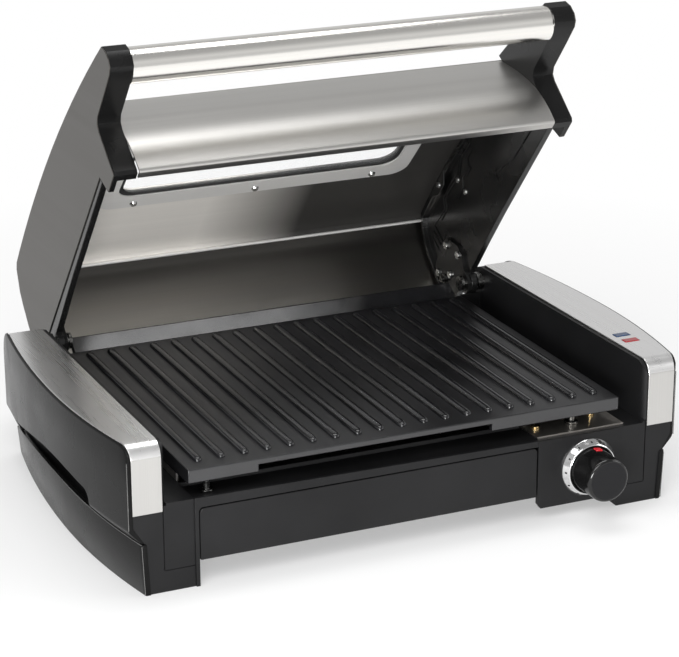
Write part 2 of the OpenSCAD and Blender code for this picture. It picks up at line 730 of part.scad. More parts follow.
module lid_side_panel() color(lid_grey) along_x(lid_x - panel_t, lid_x) polygon(concat(
    arm_line, tab_line, [[142, rim_z]],
    [for (i = [len(panel_rear) - 2:-1:0]) panel_rear[i]], top_run(110, -160, 12, 0)
));

module lid_side_panel_right() opened() lid_side_panel();

module lid_side_panel_left() opened() left() lid_side_panel();

module lid_side_liner() color(black) difference() {
    union() {
        along_x(shell_x, lid_x - panel_t) polygon(concat(
            [[bracket_rear[1] + 0.4, rim_z + weld]], liner_low, [[100, 91.5]], liner_rear,
            top_run(108, bracket_rear[0] + 0.4, 10, 2.2)
        ));
        rod_x(shell_x, lid_x - panel_t, [pivot[1], pivot[2]], lug_r);
        along_x(shell_x - flange_w, shell_x + weld)
            polygon(strip(concat(flange_rear, top_run(105, -60, 4, 10)), flange_t));
    }
    hinge_screw_places() rod_x(shell_x - 1, shell_x + 2.2, [0, 0], 1.6);
    rod_x(shell_x - 1, lid_x, [pivot[1], pivot[2]], pin_r + pin_gap);
}

module lid_side_liner_right() opened() lid_side_liner();

module lid_side_liner_left() opened() left() lid_side_liner();

module handle_bracket() color(black) difference() {
    union() {
        along_x(handle_half, lid_x - panel_t) polygon(concat(
            arm_line, bracket_foot, [[bracket_rear[1], rim_z]], top_run(bracket_rear[0], -160, 5, 0)
        ));
        along_x(lid_x - panel_t - tab_t, lid_x - panel_t) polygon(concat(
            [[-123.3, rim_z + 1]], tab_line, [[-107, rim_z - weld], [-107, rim_z + 1]]
        ));
    }
    rod_x(handle_half - 1, lid_x - 6, [handle_y, handle_z], rod_r + 0.1);
}

module handle_bracket_right() opened() handle_bracket();

module handle_bracket_left() opened() left() handle_bracket();

module handle_tube() opened() color(steel) difference() {
    rod_x(-handle_half, handle_half, [handle_y, handle_z], handle_d / 2);
    rod_x(-handle_half - 1, handle_half + 1, [handle_y, handle_z], handle_d / 2 - 1.2);
}

module handle_rod() opened() color(steel) rod_x(-162, 162, [handle_y, handle_z], rod_r);

module hinge_screw_places() for (p = hinge_screw_at) translate([0, p[0], p[1]]) children();

module hinge_plate() color([0.08, 0.08, 0.08]) difference() {
    along_x(shell_x - hinge_plate_t, shell_x) polygon(hinge_plate_line);
    rod_x(shell_x - 5, shell_x + 1, [pivot[1], pivot[2]], pin_r + pin_gap);
    hinge_screw_places() rod_x(shell_x - 5, shell_x + 1, [0, 0], 1.6);
    rod_x(shell_x - 5, shell_x + 1, stop_pin_at, stop_pin_r);
}

module hinge_plate_right() opened() hinge_plate();

module hinge_plate_left() opened() left() hinge_plate();

module hinge_screws() opened() color(steel) for (s = [0, 1]) mirror([s, 0, 0]) hinge_screw_places() {
    rod_x(shell_x - hinge_plate_t - 1.6, shell_x - hinge_plate_t, [0, 0], 2.9);
    rod_x(shell_x - hinge_plate_t - 0.1, shell_x + 2, [0, 0], 1.5);
}

module hinge_stop_pins() opened() color(steel) for (s = [0, 1]) mirror([s, 0, 0]) {
    rod_x(shell_x - hinge_plate_t - 4, shell_x, stop_pin_at, stop_pin_r);
    rod_x(shell_x - hinge_plate_t - 1, shell_x - hinge_plate_t, stop_pin_at, 3.6);
}

side_housing_left();
side_housing_right();
side_cover_left();
side_cover_right();
skirt_left();
skirt_right();
top_trim_left();
top_trim_right();
front_crossbar();
control_panel();
rear_housing();
base_pan();
bottom_cover();
base_screws();
rubber_feet();
hinge_pins();
element_plate();
element_plate_screws();
locating_pin();
heating_element();
element_clips();
thermostat();
dial_ring();
red_lens();
blue_lens();
lamp_holder();
terminal_block();
cord_gland();
knob();
knob_pointer();
thermostat_shaft();
grill_plate();
drip_tray();
lid_shell();
lid_front_panel();
lid_side_panel_left();
lid_side_panel_right();
lid_side_liner_left();
lid_side_liner_right();
handle_bracket_left();
handle_bracket_right();
handle_tube();
handle_rod();
window_glass();
window_gasket();
window_frame();
window_screws();
hinge_plate_left();
hinge_plate_right();
hinge_screws();
hinge_stop_pins();
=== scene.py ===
import json
import math

import bmesh
import bpy
from mathutils import Matrix, Quaternion, Vector

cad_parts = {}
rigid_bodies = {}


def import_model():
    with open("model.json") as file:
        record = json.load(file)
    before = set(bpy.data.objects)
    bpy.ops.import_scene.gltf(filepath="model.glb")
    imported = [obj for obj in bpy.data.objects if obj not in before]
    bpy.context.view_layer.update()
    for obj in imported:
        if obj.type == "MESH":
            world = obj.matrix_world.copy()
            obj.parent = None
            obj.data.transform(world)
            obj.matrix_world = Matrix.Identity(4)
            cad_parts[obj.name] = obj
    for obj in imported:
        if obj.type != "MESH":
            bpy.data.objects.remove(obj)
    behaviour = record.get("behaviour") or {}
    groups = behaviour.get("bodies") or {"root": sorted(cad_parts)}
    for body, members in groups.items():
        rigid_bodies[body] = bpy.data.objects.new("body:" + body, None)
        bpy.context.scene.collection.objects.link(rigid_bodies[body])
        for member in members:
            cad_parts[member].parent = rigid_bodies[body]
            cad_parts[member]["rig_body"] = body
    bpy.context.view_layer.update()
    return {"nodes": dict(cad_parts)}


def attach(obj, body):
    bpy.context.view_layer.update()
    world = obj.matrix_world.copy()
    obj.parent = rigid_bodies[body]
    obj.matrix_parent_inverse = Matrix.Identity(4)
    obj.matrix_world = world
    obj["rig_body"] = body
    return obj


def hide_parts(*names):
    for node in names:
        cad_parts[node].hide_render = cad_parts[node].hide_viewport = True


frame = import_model()
nodes = frame["nodes"]
scene = bpy.context.scene

MM = 0.001

# Camera, first: the view of the photograph
camera_data = bpy.data.cameras.new("camera")
camera_data.sensor_fit = "HORIZONTAL"
camera_data.sensor_width = 36
camera_data.lens = 128.07
camera_data.shift_x = -0.0097
camera_data.shift_y = 0.0426
camera_data.clip_end = 50
camera = bpy.data.objects.new("camera", camera_data)
scene.collection.objects.link(camera)
camera.location = (-0.6475, -1.4811, 0.6741)
look_at = Vector((0.0686, 0.112, 0.036))
camera.rotation_mode = "QUATERNION"
CAMERA_ROLL = Quaternion((0, 0, 1), -0.0024)
camera.rotation_quaternion = (look_at - camera.location).to_track_quat("-Z", "Y") @ CAMERA_ROLL
scene.camera = camera


# Materials


class Paint:
    """A material, with short calls for the nodes that the materials here share."""

    def __init__(self, name, rough=0.5, metal=0.0, color=(0.5, 0.5, 0.5), **sockets):
        self.mat = bpy.data.materials.new(name)
        self.mat.use_nodes = True
        self.tree = self.mat.node_tree
        self.tree.nodes.clear()
        self.out = self.tree.nodes.new("ShaderNodeOutputMaterial")
        self.shader = self.tree.nodes.new("ShaderNodeBsdfPrincipled")
        self.tree.links.new(self.shader.outputs[0], self.out.inputs[0])
        self.set("Base Color", (*color, 1))
        self.set("Roughness", rough)
        self.set("Metallic", metal)
        for key, value in sockets.items():
            self.set(key.replace("_", " "), value)

    def set(self, socket, value):
        self.shader.inputs[socket].default_value = value

    def to(self, socket, output):
        self.tree.links.new(output, self.shader.inputs[socket])

    def noise(self, scale, stretch=(1, 1, 1), detail=3.0, turn=0.0):
        coords = self.tree.nodes.new("ShaderNodeTexCoord")
        mapping = self.tree.nodes.new("ShaderNodeMapping")
        mapping.inputs["Scale"].default_value = stretch
        mapping.inputs["Rotation"].default_value = (turn, 0, 0)
        texture = self.tree.nodes.new("ShaderNodeTexNoise")
        texture.inputs["Scale"].default_value = scale
        texture.inputs["Detail"].default_value = detail
        self.tree.links.new(coords.outputs["Object"], mapping.inputs["Vector"])
        self.tree.links.new(mapping.outputs[0], texture.inputs["Vector"])
        return texture.outputs["Fac"]

    def axis(self, index):
        coords = self.tree.nodes.new("ShaderNodeTexCoord")
        split = self.tree.nodes.new("ShaderNodeSeparateXYZ")
        self.tree.links.new(coords.outputs["Object"], split.inputs[0])
        return split.outputs[index]

    def range(self, value, low, high, to_low, to_high):
        node = self.tree.nodes.new("ShaderNodeMapRange")
        for i, v in enumerate((low, high, to_low, to_high)):
            node.inputs[i + 1].default_value = v
        self.tree.links.new(value, node.inputs[0])
        return node.outputs[0]

    def math(self, kind, a, b):
        node = self.tree.nodes.new("ShaderNodeMath")
        node.operation = kind
        for i, v in enumerate((a, b)):
            if isinstance(v, (int, float)):
                node.inputs[i].default_value = v
            else:
                self.tree.links.new(v, node.inputs[i])
        return node.outputs[0]

    def ramp(self, value, *stops):
        node = self.tree.nodes.new("ShaderNodeValToRGB")
        marks = node.color_ramp.elements
        while len(marks) < len(stops):
            marks.new(0.5)
        for mark, (place, color) in zip(marks, stops):
            mark.position = place
            mark.color = (*color, 1)
        self.tree.links.new(value, node.inputs[0])
        return node.outputs[0]

    def shade(self, color, value, low, high, dark):
        """Painted shade: the colour, taken down to a share of itself where value goes from low to high."""
        node = self.tree.nodes.new("ShaderNodeMix")
        node.data_type = "RGBA"
        node.blend_type = "MULTIPLY"
        node.inputs["Factor"].default_value = 1.0
        share = self.range(value, low, high, 1.0, dark)
        self.tree.links.new(color, node.inputs[6])
        self.tree.links.new(share, node.inputs[7])
        return node.outputs[2]

    def bump(self, height, strength, distance):
        node = self.tree.nodes.new("ShaderNodeBump")
        node.inputs["Strength"].default_value = strength
        node.inputs["Distance"].default_value = distance
        self.tree.links.new(height, node.inputs["Height"])
        self.to("Normal", node.outputs[0])


def scaled(color, k):
    return tuple(c * k for c in color)


def brushed(name, color, rough=0.3, grain="x", spread=0.05, turn=0.0, metal=1.0, across=None):
    """Steel brushed along x, y or z: fine scratches and faint clouds. across paints shade: it darkens the
    colour along an axis, a painted gradient that stands in for reflections and shade.
    """
    p = Paint(name, rough, metal, color)
    fine = {"x": (5, 1900, 1900), "y": (1900, 5, 1900), "z": (1900, 1900, 5)}[grain]
    wide = {"x": (1.5, 110, 110), "y": (110, 1.5, 110), "z": (110, 110, 1.5)}[grain]
    scratches = p.noise(1, fine, 1, turn)
    streaks = p.noise(1, wide, 2, turn)
    clouds = p.noise(7, (1, 1, 1), 2)
    mixed = p.math("ADD", p.math("MULTIPLY", scratches, 0.4), p.math("MULTIPLY", streaks, 0.35))
    mixed = p.math("ADD", mixed, p.math("MULTIPLY", clouds, 0.25))
    tone = p.ramp(mixed, (0.3, scaled(color, 1 - spread)), (0.7, scaled(color, 1 + spread * 0.6)))
    # Painted shade and reflection: the tone is darkened along one axis.
    if across:
        tone = p.shade(tone, p.axis(across[0]), *across[1:])
    p.to("Base Color", tone)
    p.to("Roughness", p.range(mixed, 0.3, 0.7, rough - 0.03, rough + 0.04))
    p.bump(scratches, spread, 0.00004)
    return p.mat


def moulded(name, color, rough=0.35, texture=0.1, coat=0.0, level=0.3):
    """Black moulding: fine mould texture and a slight variation of its tone and gloss."""
    p = Paint(name, rough, 0.0, color)
    p.set("Specular IOR Level", level)
    p.set("Coat Weight", coat)
    p.set("Coat Roughness", 0.1)
    grain = p.noise(2600, detail=1)
    clouds = p.noise(24, detail=4)
    p.to("Base Color", p.ramp(clouds, (0.3, scaled(color, 0.82)), (0.7, scaled(color, 1.2))))
    p.to("Roughness", p.range(clouds, 0.3, 0.7, rough - 0.04, rough + 0.05))
    p.bump(grain, texture, 0.00006)
    return p.mat


def plain_metal(name, color, rough=0.25):
    p = Paint(name, rough, 1.0, color)
    marks = p.noise(420, detail=3)
    p.to("Base Color", p.ramp(marks, (0.3, scaled(color, 0.86)), (0.7, scaled(color, 1.05))))
    p.to("Roughness", p.range(marks, 0.3, 0.7, rough - 0.06, rough + 0.1))
    return p.mat


def nonstick(name, rough, level):
    """Dark non-stick coating: slight sheen, fine pebbling, and cloudy wear."""
    color = (0.008, 0.008, 0.009)
    p = Paint(name, rough, 0.0, color)
    p.set("Specular IOR Level", level)
    pebbles = p.noise(1900, detail=2)
    wear = p.noise(30, detail=5)
    p.to("Base Color", p.ramp(wear, (0.32, scaled(color, 0.75)), (0.68, scaled(color, 1.4))))
    p.to("Roughness", p.range(wear, 0.3, 0.7, rough - 0.04, rough + 0.06))
    p.bump(pebbles, 0.12, 0.00008)
    return p.mat


def rubber(name, color=(0.02, 0.02, 0.02)):
    p = Paint(name, 0.7, 0.0, color)
    spots = p.noise(900, detail=2)
    p.to("Base Color", p.ramp(spots, (0.3, scaled(color, 0.8)), (0.7, scaled(color, 1.3))))
    p.bump(spots, 0.2, 0.0001)
    return p.mat


def pane(name, color, alpha, rough=0.02):
    p = Paint(name, rough, 0.0, color, Alpha=alpha)
    haze = p.noise(60, detail=3)
    p.to("Roughness", p.range(haze, 0.3, 0.7, rough, rough + 0.03))
    return p.mat


TILT = math.radians(49)
# The trim's top and its bent front face are copies of one steel: the top much lighter, the front darker,
# painted light and shade.
trim_steel = brushed("trim_steel", (0.94, 0.935, 0.93), 0.28, "y", 0.03)
trim_front_shaded_steel = brushed("trim_front_shaded_steel", (0.64, 0.63, 0.61), 0.3, "z")
lid_steel = brushed("lid_steel", (0.56, 0.55, 0.53), 0.33, "x", 0.08)
# Painted reflection inside the lid: a lighter, partly diffuse copy of the lid steel, bright at the left and
# going dark from x = -30 to 55 mm.
inner_steel_painted_reflection = brushed("inner_steel_painted_reflection", (0.92, 0.89, 0.84), 0.36, "x", metal=0.4, across=(0, -0.03, 0.055, 0.06))
# Painted shade inside the lid: a darker copy of the lid steel for the wall below the crease, darkening
# upwards from 66 to 112 mm high.
wall_steel_painted_shade = brushed("wall_steel_painted_shade", (0.45, 0.43, 0.4), 0.3, "x", across=(2, 0.066, 0.112, 0.15))
side_steel = brushed("side_steel", (0.108, 0.103, 0.096), 0.42, "y", turn=TILT)
tube_steel = brushed("tube_steel", (0.97, 0.95, 0.91), 0.2, "x", 0.05)
# Painted highlight: a light, half-diffuse steel for the bead along the lid's inner crease.
crease_highlight_steel = brushed("crease_highlight_steel", (0.95, 0.94, 0.92), 0.3, "x", 0.03, metal=0.5)
# Painted highlight: grey for thin lines along the black covers' edges.
painted_highlight_grey = moulded("painted_highlight_grey", (0.1, 0.1, 0.098), 0.25, 0.0)
frame_steel = brushed("frame_steel", (0.8, 0.79, 0.77), 0.32, "x", metal=0.4)
plate_metal = brushed("plate_metal", (0.85, 0.8, 0.74), 0.3, "x")
housing_black = moulded("housing_black", (0.009, 0.009, 0.0095), 0.4, 0.1, level=0.22)
cover_black = moulded("cover_black", (0.006, 0.006, 0.006), 0.26, 0.04, level=0.1)
bracket_black = moulded("bracket_black", (0.006, 0.006, 0.006), 0.24, 0.03, level=0.2)
liner_black = moulded("liner_black", (0.006, 0.006, 0.006), 0.25, 0.06, level=0.4)
knob_black = moulded("knob_black", (0.005, 0.005, 0.005), 0.12, 0.0, level=0.5)
cap_grey = moulded("cap_grey", (0.009, 0.009, 0.01), 0.45, 0.1, level=0.2)
plate_coating = nonstick("plate_coating", 0.34, 0.42)
rib_coating = nonstick("rib_coating", 0.16, 0.6)
front_coating = nonstick("front_coating", 0.3, 1.0)
bright_metal = plain_metal("bright_metal", (0.66, 0.66, 0.65), 0.22)
dark_metal = plain_metal("dark_metal", (0.16, 0.16, 0.155), 0.25)
brass = plain_metal("brass", (0.72, 0.56, 0.3), 0.25)
chrome = plain_metal("chrome", (0.82, 0.82, 0.82), 0.08)
pan_metal = plain_metal("pan_metal", (0.3, 0.29, 0.28), 0.4)
element_metal = plain_metal("element_metal", (0.1, 0.095, 0.09), 0.45)
ceramic = moulded("ceramic", (0.7, 0.68, 0.62), 0.6, 0.1)
foot_rubber = rubber("foot_rubber")
gland_rubber = rubber("gland_rubber")
seal_rubber = rubber("seal_rubber", (0.014, 0.014, 0.014))
red_lens_mat = moulded("red_lens", (0.3, 0.01, 0.015), 0.12, 0.0, 0.6)
blue_lens_mat = moulded("blue_lens", (0.012, 0.04, 0.11), 0.12, 0.0, 0.6)
pointer_red = moulded("pointer_red", (0.5, 0.012, 0.02), 0.25, 0.0, 0.3)
mark_black = moulded("mark_black", (0.01, 0.01, 0.01), 0.5, 0.0)
glass = pane("glass", (0.95, 0.97, 0.97), 0.1)


# Mesh helpers, in millimetres in the part's frame

PIVOT = Vector((0, 95, 89))
OPEN_LID = Matrix.Translation(PIVOT) @ Matrix.Rotation(-TILT, 4, "X") @ Matrix.Translation(-PIVOT)


def clean(mesh, sharp):
    bm = bmesh.new()
    bm.from_mesh(mesh)
    bmesh.ops.remove_doubles(bm, verts=bm.verts, dist=1e-6)
    bmesh.ops.recalc_face_normals(bm, faces=bm.faces)
    bm.to_mesh(mesh)
    bm.free()
    mesh.shade_smooth()
    mesh.set_sharp_from_angle(angle=math.radians(sharp))


def piece(name, verts, faces, body, mat, replaces=(), bevel=0.0, sharp=35, lid=False, segments=2):
    """A new piece from its vertices, in mm, and its faces. lid says that it is drawn with the lid shut."""
    points = [Vector(v) for v in verts]
    if lid:
        points = [OPEN_LID @ p for p in points]
    mesh = bpy.data.meshes.new(name)
    mesh.from_pydata([p * MM for p in points], [], faces)
    return place(name, mesh, body, mat, replaces, bevel, sharp, segments)


def place(name, mesh, body, mat, replaces=(), bevel=0.0, sharp=35, segments=2):
    clean(mesh, sharp)
    mesh.materials.clear()
    mesh.materials.append(mat)
    obj = bpy.data.objects.new(name, mesh)
    scene.collection.objects.link(obj)
    if bevel:
        edge = obj.modifiers.new("edges", "BEVEL")
        edge.width = bevel * MM
        edge.segments = segments
        edge.limit_method = "ANGLE"
        edge.angle_limit = math.radians(sharp)
        edge.use_clamp_overlap = True
        edge.harden_normals = False
        normals = obj.modifiers.new("normals", "WEIGHTED_NORMAL")
        normals.keep_sharp = True
    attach(obj, body)
    if replaces:
        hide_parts(*replaces)
    return obj


def dress(node, mat, bevel=0.5, sharp=30, segments=2):
    """The CAD node's own shape with its edges rounded."""
    mesh = nodes[node].data.copy()
    bm = bmesh.new()
    bm.from_mesh(mesh)
    bmesh.ops.remove_doubles(bm, verts=bm.verts, dist=2e-6)
    bmesh.ops.dissolve_limit(bm, angle_limit=math.radians(0.6), verts=bm.verts, edges=bm.edges)
    bm.to_mesh(mesh)
    bm.free()
    return place(node + "_shaped", mesh, nodes[node]["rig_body"], mat, [node], bevel, sharp, segments)


def finish_node(node, mat):
    """Another material for a CAD node that stays as it is."""
    obj = nodes[node]
    if not obj.material_slots:
        obj.data.materials.append(mat)
    for s in obj.material_slots:
        s.material = mat


def cut(obj, verts, faces, lid=False):
    """Take a closed solid out of a piece's mesh."""
    mesh = bpy.data.meshes.new("cutter")
    points = [OPEN_LID @ Vector(v) if lid else Vector(v) for v in verts]
    mesh.from_pydata([p * MM for p in points], [], faces)
    clean(mesh, 30)
    tool = bpy.data.objects.new("cutter", mesh)
    scene.collection.objects.link(tool)
    for m in obj.modifiers:
        m.show_viewport = False
    boolean = obj.modifiers.new("cut", "BOOLEAN")
    boolean.object = tool
    boolean.operation = "DIFFERENCE"
    boolean.solver = "EXACT"
    bpy.context.view_layer.update()
    result = bpy.data.meshes.new_from_object(obj.evaluated_get(bpy.context.evaluated_depsgraph_get()))
    obj.modifiers.remove(boolean)
    for m in obj.modifiers:
        m.show_viewport = True
    old = obj.data
    obj.data = result
    bpy.data.meshes.remove(old)
    bpy.data.objects.remove(tool)
    result.set_sharp_from_angle(angle=math.radians(35))


def prism_x(x0, x1, outline):
    """Solid between two planes of constant x, from an outline of (y, z)."""
    n = len(outline)
    verts = [(x, y, z) for x in (x0, x1) for y, z in outline]
    faces = [tuple(range(n)), tuple(range(2 * n - 1, n - 1, -1))]
    faces += [(i, i + n, (i + 1) % n + n, (i + 1) % n) for i in range(n)]
    return verts, faces


def prism_y(y0, y1, outline):
    verts, faces = prism_x(y0, y1, outline)
    return [(v[1], v[0], v[2]) for v in verts], faces


def prism_z(z0, z1, outline):
    verts, faces = prism_x(z0, z1, outline)
    return [(v[1], v[2], v[0]) for v in verts], faces


def block(low, high):
    (x0, y0, z0), (x1, y1, z1) = low, high
    return prism_z(z0, z1, [(x0, y0), (x1, y0), (x1, y1), (x0, y1)])


def loft(sections, closed=True):
    """Skin over sections that have the same number of points; closed sections get caps."""
    n = len(sections[0])
    verts = [tuple(p) for s in sections for p in s]
    faces = []
    for i in range(len(sections) - 1):
        for j in range(n if closed else n - 1):
            k = (j + 1) % n
            faces.append((i * n + j, i * n + k, (i + 1) * n + k, (i + 1) * n + j))
    if closed:
        faces.append(tuple(range(n - 1, -1, -1)))
        last = (len(sections) - 1) * n
        faces.append(tuple(range(last, last + n)))
    return verts, faces


def joined(*solids):
    verts, faces = [], []
    for v, f in solids:
        base = len(verts)
        verts += list(v)
        faces += [tuple(i + base for i in face) for face in f]
    return verts, faces


def mirrored(solid):
    verts, faces = solid
    return [(-v[0], v[1], v[2]) for v in verts], [tuple(reversed(f)) for f in faces]


def lathe(profile, centre, axis="y", count=64):
    """Solid turned about an axis through centre: profile points are (radius, distance along the axis)."""
    verts, rings, faces = [], [], []
    for r, d in profile:
        ring = []
        for i in range(count if r > 1e-6 else 1):
            a = 2 * math.pi * i / count
            across, up = r * math.cos(a), r * math.sin(a)
            x, y, z = {"y": (across, -d, up), "x": (d, across, up), "z": (across, up, d)}[axis]
            ring.append(len(verts))
            verts.append((centre[0] + x, centre[1] + y, centre[2] + z))
        rings.append(ring)
    for a, b in zip(rings, rings[1:]):
        for i in range(count):
            j = (i + 1) % count
            loop = [a[i % len(a)], a[j % len(a)], b[j % len(b)], b[i % len(b)]]
            loop = [v for k, v in enumerate(loop) if v != loop[k - 1]]
            if len(loop) > 2:
                faces.append(tuple(loop))
    return verts, faces


def smooth(points, per=6):
    """Points on a smooth curve through the given ones."""
    out = []
    for i in range(len(points) - 1):
        p0 = points[max(i - 1, 0)]
        p1, p2 = points[i], points[i + 1]
        p3 = points[min(i + 2, len(points) - 1)]
        for k in range(per):
            t = k / per
            out.append(tuple(
                0.5 * (2 * b + (c - a) * t + (2 * a - 5 * b + 4 * c - d) * t * t
                       + (3 * b - a - 3 * c + d) * t ** 3)
                for a, b, c, d in zip(p0, p1, p2, p3)
            ))
    out.append(tuple(points[-1]))
    return out


def arc(centre, r, start, end, n):
    return [
        (centre[0] + r * math.cos(math.radians(start + (end - start) * i / n)),
         centre[1] + r * math.sin(math.radians(start + (end - start) * i / n)))
        for i in range(n + 1)
    ]


def steps(a, b, n):
    return [a + (b - a) * i / n for i in range(n + 1)]


def strip(line, t):
    """A line of points thickened to its left."""
    offset = []
    for i, p in enumerate(line):
        a = Vector(line[max(i, 1)]) - Vector(line[max(i, 1) - 1])
        b = Vector(line[min(i, len(line) - 2) + 1]) - Vector(line[min(i, len(line) - 2)])
        na, nb = Vector((-a[1], a[0])).normalized(), Vector((-b[1], b[0])).normalized()
        m = (na + nb).normalized()
        q = Vector(p) + m * t / m.dot(na)
        offset.append((q[0], q[1]))
    return list(line) + offset[::-1]


def round_rect(low, high, r, n=8):
    return (
        arc((high[0] - r, high[1] - r), r, 0, 90, n) + arc((low[0] + r, high[1] - r), r, 90, 180, n)
        + arc((low[0] + r, low[1] + r), r, 180, 270, n) + arc((high[0] - r, low[1] + r), r, 270, 360, n)
    )


# Sides of the base

FRONT_Y = -152.0
HALF_W = 213.0
TRIM_REAR_Y = 94.0
COVER_REAR_Y = 116.0
TRIM_IN_X = 177.7
TRIM_BEND = 11
TRIM_T = 1.2
WALL = 2.6


def bow(y):
    return HALF_W - (y + 30) ** 2 / (2 * (560 if y < -30 else 861))


def trim_z(y):
    return 103.9 + (101.4 - 103.9) * (y + 152) / 246


def seam_z(y):
    return 36.2 + (y + 152) * 0.008 if y < -40 else 37.1 - (y + 40) ** 2 * 0.00062


def turn_z(y):
    return seam_z(y) + 9.3 + max(0, y + 40) * 0.05


def drop(r, d):
    return 0 if d >= r else r - math.sqrt(max(0, r * r - (r - d) ** 2))


def cover_z(y):
    return trim_z(min(y, 98)) - 0.4 - drop(11, y - FRONT_Y) - drop(24, COVER_REAR_Y + 0.4 - y)


def cover_section(y):
    x = bow(y) - drop(1.3, y + 150.4)
    top, turn, seam = cover_z(y), turn_z(y), seam_z(y) + 0.3
    return [
        (x - 1.15, y, top), (x - 0.6, y, top - 0.12), (x - 0.2, y, top - 0.5), (x, y, top - 1.1),
        (x, y, top * 0.6 + turn * 0.4), (x, y, turn + 1.6), (x - 0.25, y, turn), (x - 1.1, y, turn - 1.6),
        (x - 7.2, y, seam + 0.5), (x - 7.6, y, seam), (x - 9.8, y, seam), (x - WALL, y, turn + 1.4),
        (x - WALL, y, top - 4), (x - 1.5, y, top - 3.4), (x - 1.5, y, top),
    ]


def slot_outline():
    top = smooth([(-66, 57.6), (-40, 58.8), (-10, 57.2), (26, 52), (64, 44.6), (92, 38)], 5)
    return [(-97, 34)] + arc((-88, 46.5), 9, 180, 105, 8) + top + [(92, 22), (60, 26)]


def skirt_section(y):
    x, seam = bow(y) - drop(1.0, y + 151.6), seam_z(y) - 0.4
    return [
        (x - 7.9, y, seam), (x - 7.4, y, seam - 0.25), (x - 7.2, y, seam - 0.8), (x - 9, y, 0.6),
        (x - 9.3, y, 0.2), (x - 11.6, y, 0.2), (x - 9.8, y, seam),
    ]


LENS_X = (183.3, 195.2)
LENS_Y = (-106.8, -94.2)
LENS_HALF = 3.4


def painted_highlight_line(points, along):
    """Slim rounded grey line through points: a painted highlight along an edge."""
    sections = []
    for p in points:
        if along[2]:
            sections.append([(p[0] + x, p[1] + y, p[2]) for x, y in arc((0, 0), 0.32, 0, 300, 5)])
        else:
            sections.append([(p[0] + x, p[1], p[2] + z) for x, z in arc((0, 0), 0.28, 0, 300, 5)])
    return loft(sections)


# In metres: where the trim's bent front face starts, which is brushed upright and painted darker than the
# top: painted shade
FACE_TOP = 0.0955
FACE_REAR = -0.1415

cover_ys = [-150.4, -150.15, -149.8, -149.4, -149, -148, -146.5, -145, -143, -141, -138]
cover_ys += steps(-132, 90, 38)
cover_ys += [93, 96, 98.5, 101, 103, 105, 107, 109, 110.7, 112.2, 113.5, 114.6, 115.4, 116]
skirt_ys = [-151.6, -151.4, -151.1, -150.6] + steps(-148, 116, 44)
for side, flip in (("right", lambda s: s), ("left", mirrored)):
    cover = piece(
        f"cover_{side}", *flip(loft([cover_section(y) for y in cover_ys])), "base", cover_black,
        [f"side_cover_{side}"], sharp=40,
    )
    cut(cover, *flip(prism_x(180, 220, slot_outline())))
    piece(
        f"skirt_{side}_shaped", *flip(loft([skirt_section(y) for y in skirt_ys])), "base",
        cover_black, [f"skirt_{side}"], sharp=40,
    )
    # Painted highlights: grey lines along the cover's front edge, the skirt's front edge and the seam between
    # them.
    lines = [
        painted_highlight_line([(bow(-150) + 0.05, -150.15, z) for z in steps(turn_z(-150) + 1, 93, 8)], (0, 0, 1)),
        painted_highlight_line(
            [(bow(-151) - 7.6 - 1.35 * k, -151.55, 34.8 - 33.6 * k) for k in steps(0, 1, 8)], (0, 0, 1),
        ),
        painted_highlight_line([(bow(y) - 7.5, y, seam_z(y) - 0.45) for y in steps(-151, 110, 40)], (0, 1, 0)),
    ]
    piece(f"painted_highlight_lines_{side}", *flip(joined(*lines)), "base", painted_highlight_grey, sharp=60)
    top = [(y, trim_z(y)) for y in steps(TRIM_REAR_Y, FRONT_Y + TRIM_BEND, 40)][:-1]
    top += arc((FRONT_Y + TRIM_BEND, trim_z(FRONT_Y) - TRIM_BEND), TRIM_BEND, 90, 180, 16)
    down = [(FRONT_Y, z) for z in steps(92, 56.8, 6)][1:]
    line = top + down
    both = strip(line, TRIM_T)
    inner = both[len(line):][::-1]
    sections = []
    for (y, z), (yi, zi) in zip(line, inner):
        out = bow(max(y, FRONT_Y)) - 1.9
        sections.append([(TRIM_IN_X, y, z), (out, y, z), (out, yi, zi), (TRIM_IN_X, yi, zi)])
    trim = piece(
        f"trim_{side}", *flip(loft(sections)), "base", trim_steel, [f"top_trim_{side}"], bevel=0.3, sharp=50,
    )
    if side == "right":
        for y in LENS_Y:
            cut(trim, *block((LENS_X[0], y - LENS_HALF, 96), (LENS_X[1], y + LENS_HALF, 110)))
    # Painted shade: the front face takes the darker copy of the trim steel.
    trim.data.materials.append(trim_front_shaded_steel)
    for face in trim.data.polygons:
        if face.center.z < FACE_TOP and face.center.y < FACE_REAR:
            face.material_index = 1
    dress(f"side_housing_{side}", housing_black, 0.9)

dress("red_lens", red_lens_mat, 0.6)
dress("blue_lens", blue_lens_mat, 0.6)

# Front, rear and inside of the base

dress("front_crossbar", housing_black, 0.35)
dress("control_panel", housing_black, 0.4)
dress("rear_housing", housing_black, 1.2)
dress("drip_tray", housing_black, 0.5)
dress("element_plate", plate_metal, 0.3)
dress("element_plate_screws", brass, 0.3)
dress("locating_pin", dark_metal, 0.35)
dress("cord_gland", gland_rubber, 0.6)
for node, mat in (
    ("base_pan", pan_metal), ("bottom_cover", housing_black), ("base_screws", bright_metal),
    ("rubber_feet", foot_rubber), ("hinge_pins", dark_metal), ("heating_element", element_metal),
    ("element_clips", bright_metal), ("thermostat", ceramic), ("lamp_holder", ceramic),
    ("terminal_block", ceramic), ("thermostat_shaft", bright_metal),
):
    finish_node(node, mat)

# Grill plate

PLATE_Z = 79.2
PLATE_HALF = 157.8
RIB_Y = (-134, 88)
RIB_HALF = 3.0
RIB_H = 2.6
RIB_PITCH = 16.2
RIB_COUNT = 19
RIB_END = 4


